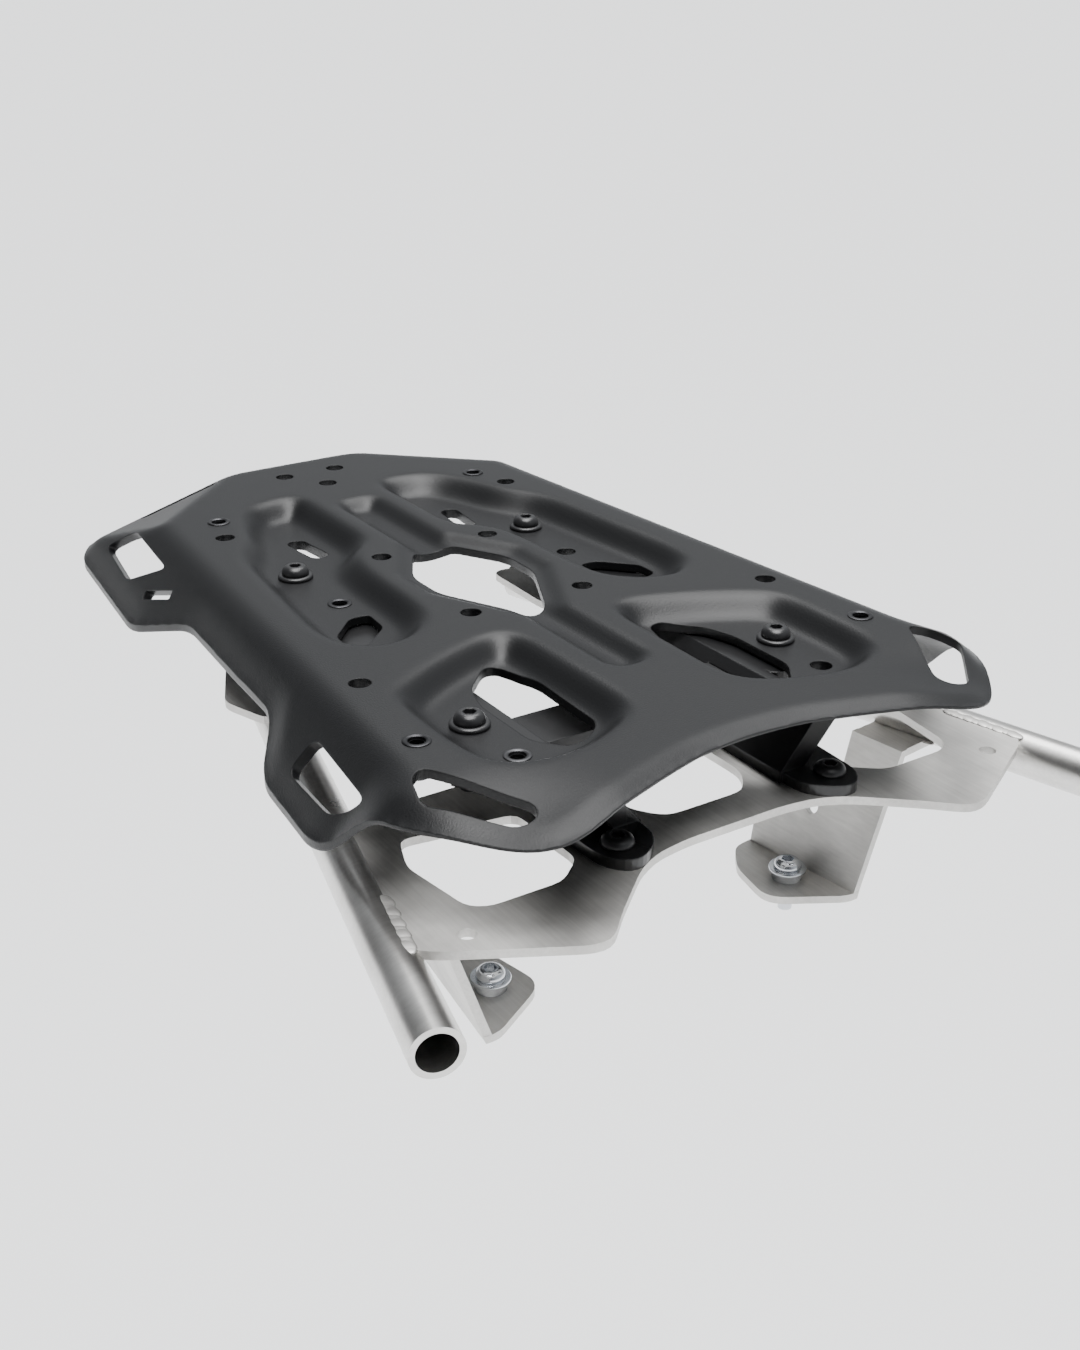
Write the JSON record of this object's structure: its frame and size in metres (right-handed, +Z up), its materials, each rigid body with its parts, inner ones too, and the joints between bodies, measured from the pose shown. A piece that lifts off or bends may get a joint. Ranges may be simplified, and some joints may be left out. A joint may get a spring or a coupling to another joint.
{
  "type": "motorcycle luggage rack",
  "caption": "Pressed black rack plate with deep pockets, case holes and lashing windows, on folded black brackets and a brushed tubular steel carrier with drop feet.",
  "frame": {"origin": "middle of the four case holes, on the flat top face of the plate", "axes": "+X to the right-hand side, +Y towards the rear of the motorcycle, +Z up"},
  "size_m": [0.2896, 0.376, 0.1155],
  "materials": {
    "plate_black": "satin powder coat",
    "bracket_black": "semi-gloss black",
    "insert_steel": "blackened steel",
    "stainless": "brushed and pickled stainless",
    "zinc": "bright zinc"
  },
  "bodies": {
    "root": {"top_plate": "plate_black", "thread_insert_1": "insert_steel", "thread_insert_2": "insert_steel", "thread_insert_3": "insert_steel", "thread_insert_4": "insert_steel", "thread_insert_5": "insert_steel", "thread_insert_6": "insert_steel", "plate_bolt_rear_left": "bracket_black", "plate_bolt_rear_right": "bracket_black", "plate_bolt_front_left": "bracket_black", "plate_bolt_front_right": "bracket_black", "plate_washer_rear_left": "bracket_black", "plate_washer_rear_right": "bracket_black", "plate_washer_front_left": "bracket_black", "plate_washer_front_right": "bracket_black", "plate_nut_rear_left": "bracket_black", "plate_nut_rear_right": "bracket_black", "plate_nut_front_left": "bracket_black", "plate_nut_front_right": "bracket_black", "adapter_bracket_left": "bracket_black", "adapter_bracket_right": "bracket_black", "cross_strap": "bracket_black", "foot_bolt_left": "bracket_black", "foot_bolt_right": "bracket_black", "foot_nut_left": "bracket_black", "foot_nut_right": "bracket_black", "carrier_plate": "stainless", "carrier_tube_left": "stainless", "carrier_tube_right": "stainless", "rear_gusset_left": "stainless", "rear_gusset_right": "stainless", "drop_bracket_left": "stainless", "drop_bracket_right": "stainless", "frame_bolt_left": "zinc", "frame_bolt_right": "zinc", "frame_collar_left": "zinc", "frame_collar_right": "zinc"}
  },
  "joints": []
}
